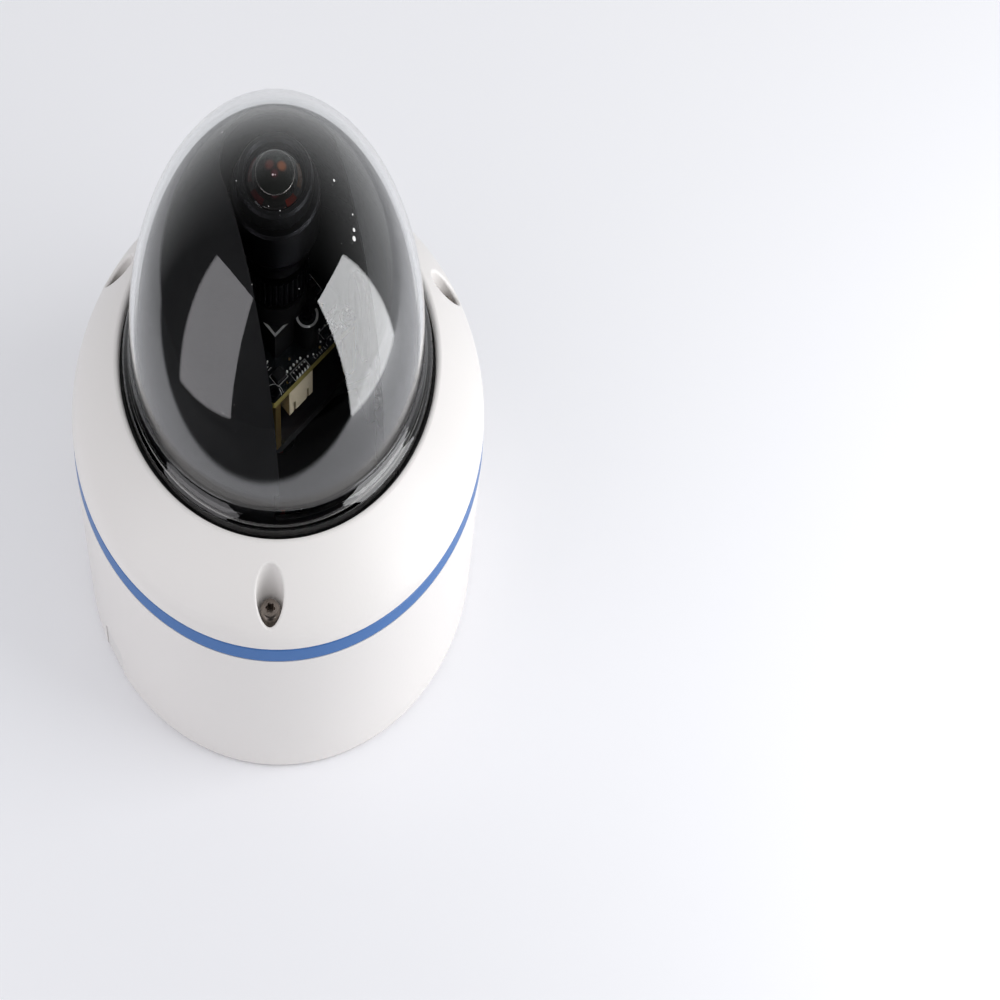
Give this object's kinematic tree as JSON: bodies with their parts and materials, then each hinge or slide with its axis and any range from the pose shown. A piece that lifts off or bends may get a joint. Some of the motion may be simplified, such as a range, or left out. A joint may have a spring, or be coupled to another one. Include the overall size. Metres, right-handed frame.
{
  "type": "dome security camera",
  "caption": "Round surface-mount dome security camera: white two-part metal housing with a blue band, clear dome, and a lens that pans, tilts and rolls inside.",
  "frame": {"origin": "centre of the flat mounting face at the bottom of the base housing", "axes": "+Z from the mounting face up through the top of the dome; -Y is the front, where one cover screw sits almost central; +X to the right seen from the front"},
  "size_m": [0.144, 0.144, 0.1219],
  "materials": {
    "white_paint": "semi-gloss powder coat over die-cast aluminium",
    "blue_band": "satin moulded band",
    "white_moulding": "white moulded knock-out plug",
    "clear_dome": "polished clear polycarbonate",
    "black_rubber": "matt silicone",
    "black_moulding": "fine-textured moulding",
    "black_sheet_metal": "black powder coat",
    "dark_screw_steel": "dark stainless",
    "zinc_steel": "zinc plated",
    "brass": "turned brass",
    "circuit_board": "black solder mask",
    "chip_black": "moulded chip packages",
    "white_nylon": "natural nylon",
    "jack_metal": "tinned shield",
    "red_lead": "insulated leads",
    "sensor_ceramic": "ceramic package",
    "lens_black": "black anodised",
    "lens_glass": "coated optical glass"
  },
  "bodies": {
    "housing": {"base_housing": "white_paint", "side_notch_plug": "white_moulding", "accent_band": "blue_band", "cover_housing": "white_paint", "cover_seal": "black_rubber", "cover_screw_washers": "black_rubber", "cover_screws": "dark_screw_steel", "dome_bubble": "clear_dome", "dome_seal": "black_rubber", "dome_clamp_ring": "zinc_steel", "clamp_screws": "zinc_steel", "cable_grommet": "black_rubber", "main_board_standoffs": "brass", "main_board": "circuit_board", "main_board_screws": "zinc_steel", "main_board_chips": "chip_black", "network_jack": "jack_metal", "board_capacitors": "chip_black", "base_connector": "white_nylon", "base_leads": "red_lead", "chassis_posts": "zinc_steel", "chassis_plate": "black_sheet_metal", "chassis_screws": "zinc_steel"},
    "pan": {"pan_table": "black_sheet_metal", "pan_retainer": "black_moulding", "pan_retainer_screws": "zinc_steel", "inner_liner": "black_moulding", "liner_screws": "zinc_steel", "yoke_arm_left": "black_sheet_metal", "yoke_arm_right": "black_sheet_metal", "yoke_screws": "zinc_steel"},
    "tilt": {"tilt_cradle": "black_sheet_metal"},
    "roll": {"roll_plate": "black_sheet_metal", "roll_retainer": "black_moulding", "roll_retainer_screws": "zinc_steel", "sensor_standoffs": "brass", "sensor_board": "circuit_board", "sensor_board_screws": "dark_screw_steel", "sensor_board_chips": "chip_black", "lead_connector": "white_nylon", "lead_plug": "white_nylon", "sensor_leads": "red_lead", "image_sensor": "sensor_ceramic", "lens_mount": "black_moulding", "lens_mount_screws": "zinc_steel", "lens_barrel": "lens_black", "lens_head": "lens_black", "front_element": "lens_glass", "inner_lens_ring": "lens_black", "inner_element": "lens_glass", "rear_element": "lens_glass"},
    "focus": {"focus_ring": "lens_black"},
    "knob_left": {"tilt_knob_left": "black_moulding"},
    "knob_right": {"tilt_knob_right": "black_moulding"}
  },
  "joints": [
    {"name": "pan_turn", "type": "hinge", "parent": "housing", "child": "pan", "pos_m": [0, 0, 0.04], "axis": [0, 0, 1], "range_deg": [-177.5, 177.5]},
    {"name": "tilt_turn", "type": "hinge", "parent": "pan", "child": "tilt", "pos_m": [0, 0, 0.0715], "axis": [0.887, 0.4617, 0], "range_deg": [0, 75]},
    {"name": "roll_turn", "type": "hinge", "parent": "tilt", "child": "roll", "pos_m": [0, 0, 0.06], "axis": [0, 0, 1], "range_deg": [-177.5, 177.5]},
    {"name": "focus_turn", "type": "hinge", "parent": "roll", "child": "focus", "pos_m": [0, 0, 0.09], "axis": [0, 0, 1], "range_deg": [-90, 90]},
    {"name": "knob_left_turn", "type": "hinge", "parent": "tilt", "child": "knob_left", "pos_m": [0, 0, 0.0715], "axis": [0.887, 0.4617, 0], "range_deg": [-90, 90]},
    {"name": "knob_right_turn", "type": "hinge", "parent": "tilt", "child": "knob_right", "pos_m": [0, 0, 0.0715], "axis": [0.887, 0.4617, 0], "range_deg": [-90, 90]}
  ]
}
